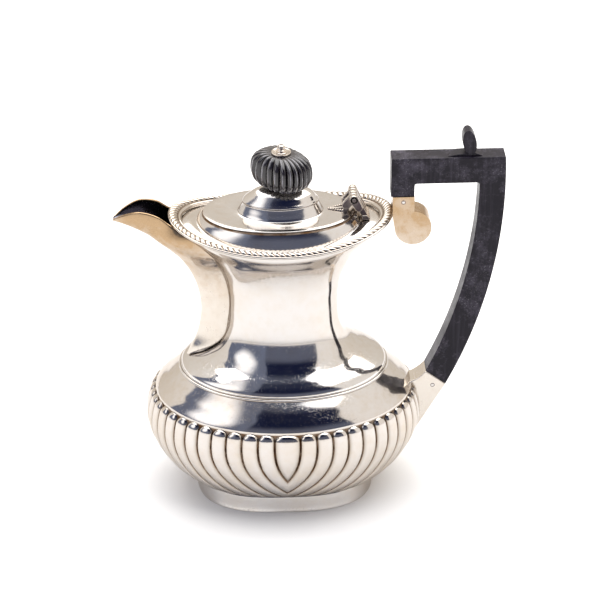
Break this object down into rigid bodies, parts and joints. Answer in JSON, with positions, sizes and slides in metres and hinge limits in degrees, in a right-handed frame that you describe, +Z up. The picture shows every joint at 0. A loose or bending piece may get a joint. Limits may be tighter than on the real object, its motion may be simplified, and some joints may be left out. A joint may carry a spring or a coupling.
{
  "type": "silver teapot",
  "caption": "Tall oval half-fluted silver teapot with beak spout, gadroon rim, hinged domed lid, fluted wood finial and square wood handle.",
  "frame": {"origin": "middle of the foot's underside, on the surface that the pot stands on", "axes": "+Z up, the spout points along -X and the handle along +X, +Y across the pot"},
  "size_m": [0.1912, 0.1062, 0.1943],
  "materials": {
    "silver": "old mirror polish with fine scratches",
    "fluted_silver": "polished lobes with brown tarnish in the grooves",
    "tarnished_silver": "polished with a tan tarnish bloom",
    "hinge_silver": "worn polish, dark in the joints",
    "ebony": "waxed black wood with worn, greyish faces",
    "carved_ebony": "glossy carved black wood"
  },
  "bodies": {
    "pot": {"foot": "silver", "bottom_plate": "silver", "bowl": "fluted_silver", "girdle_wire": "silver", "neck": "silver", "spout": "tarnished_silver", "rim_border": "silver", "cover_plate": "silver", "hinge_knuckles_pot": "hinge_silver", "hinge_pin": "hinge_silver", "upper_socket": "tarnished_silver", "lower_socket": "tarnished_silver", "handle": "ebony", "upper_socket_pin": "hinge_silver", "lower_socket_pin": "hinge_silver"},
    "lid": {"lid": "silver", "lid_flange": "silver", "hinge_knuckles_lid": "hinge_silver", "finial": "carved_ebony", "finial_washer": "hinge_silver", "finial_bolt": "hinge_silver", "inner_washer": "hinge_silver", "finial_nut": "hinge_silver"}
  },
  "joints": [
    {"name": "lid_hinge", "type": "hinge", "parent": "pot", "child": "lid", "pos_m": [0.0345, 0, 0.16], "axis": [0, 1, 0], "range_deg": [0, 80]}
  ]
}
